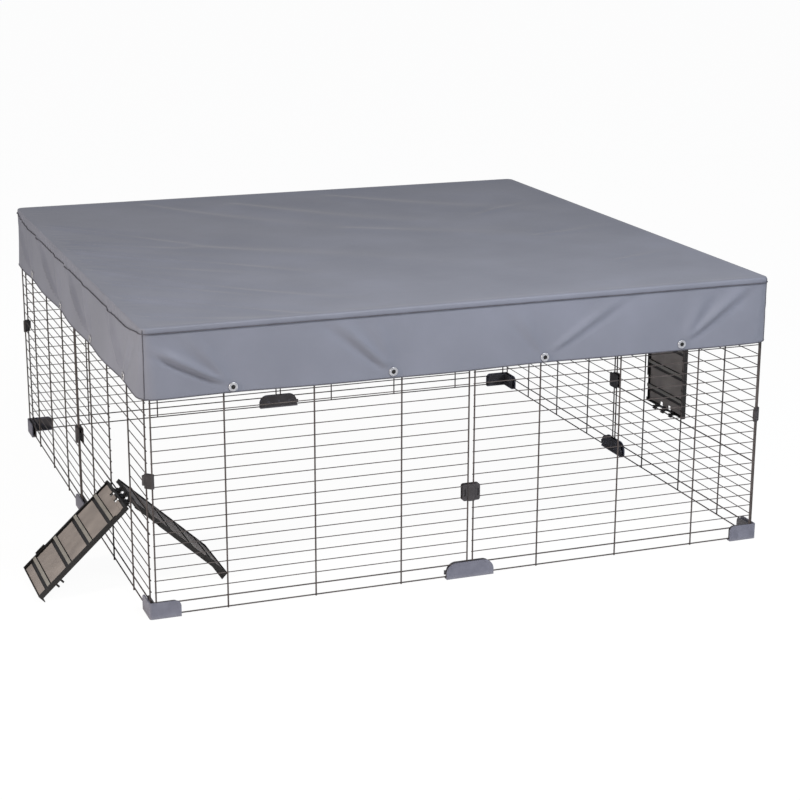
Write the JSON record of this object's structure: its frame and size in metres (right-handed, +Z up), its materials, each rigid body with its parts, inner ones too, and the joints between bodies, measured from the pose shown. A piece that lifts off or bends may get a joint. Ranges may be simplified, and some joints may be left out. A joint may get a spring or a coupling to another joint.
{
  "type": "guinea pig cage",
  "caption": "Square wire floor run for guinea pigs on plastic feet, with a lift-off fabric cover, ramp boards in one side doorway and a swing-down board closing the other.",
  "frame": {"origin": "on the floor under the front left corner of the run, where the planes of the front and left posts meet", "axes": "+X along the front to the right, +Y from the front to the back, +Z up"},
  "size_m": [1.6152, 1.4284, 0.6083],
  "materials": {
    "wire": "dark brown-grey powder coat",
    "foot_shell": "fine matte moulding",
    "foot_plate": "fine matte moulding",
    "clip": "fine matte moulding",
    "board": "satin moulding",
    "cover_fabric": "coated woven polyester",
    "eyelet": "rolled and plated",
    "hook": "plain moulding"
  },
  "bodies": {
    "run": {"panel_front_1": "wire", "panel_front_2": "wire", "panel_right_1": "wire", "panel_right_2": "wire", "panel_back_1": "wire", "panel_back_2": "wire", "panel_left_1": "wire", "panel_left_2": "wire", "corner_foot_outer_front_left": "foot_shell", "corner_foot_inner_front_left": "foot_plate", "corner_foot_outer_front_right": "foot_shell", "corner_foot_inner_front_right": "foot_plate", "corner_foot_outer_back_right": "foot_shell", "corner_foot_inner_back_right": "foot_plate", "corner_foot_outer_back_left": "foot_shell", "corner_foot_inner_back_left": "foot_plate", "corner_clip_front_left": "clip", "corner_clip_front_right": "clip", "corner_clip_back_right": "clip", "corner_clip_back_left": "clip", "mid_foot_outer_front": "foot_shell", "mid_foot_inner_front": "foot_plate", "mid_foot_outer_right": "foot_shell", "mid_foot_inner_right": "foot_plate", "mid_foot_outer_back": "foot_shell", "mid_foot_inner_back": "foot_plate", "mid_foot_outer_left": "foot_shell", "mid_foot_inner_left": "foot_plate", "mid_clip_outer_front": "clip", "mid_clip_inner_front": "clip", "mid_clip_outer_right": "clip", "mid_clip_inner_right": "clip", "mid_clip_outer_back": "clip", "mid_clip_inner_back": "clip", "mid_clip_outer_left": "clip", "mid_clip_inner_left": "clip"},
    "ramp_left_outer": {"ramp_board_left_outer": "board"},
    "ramp_left_inner": {"ramp_board_left_inner": "board"},
    "door_right": {"ramp_board_right": "board"},
    "cover": {"cover": "cover_fabric", "cover_eyelets": "eyelet", "cover_hooks": "hook"}
  },
  "joints": [
    {"name": "ramp_left_outer_swing", "type": "hinge", "parent": "run", "child": "ramp_left_outer", "pos_m": [0.0029, 0.25625, 0.18], "axis": [0, 1, 0], "range_deg": [0, 42]},
    {"name": "ramp_left_inner_swing", "type": "hinge", "parent": "run", "child": "ramp_left_inner", "pos_m": [0.0029, 0.25625, 0.18], "axis": [0, -1, 0], "range_deg": [0, 42]},
    {"name": "door_right_swing", "type": "hinge", "parent": "run", "child": "door_right", "pos_m": [1.3955, 0.44655, 0.18], "axis": [0, 1, 0], "range_deg": [0, 129.5]},
    {"name": "cover_lift", "type": "slide", "parent": "run", "child": "cover", "axis": [0, 0, 1], "range_m": [0, 0.25]}
  ]
}
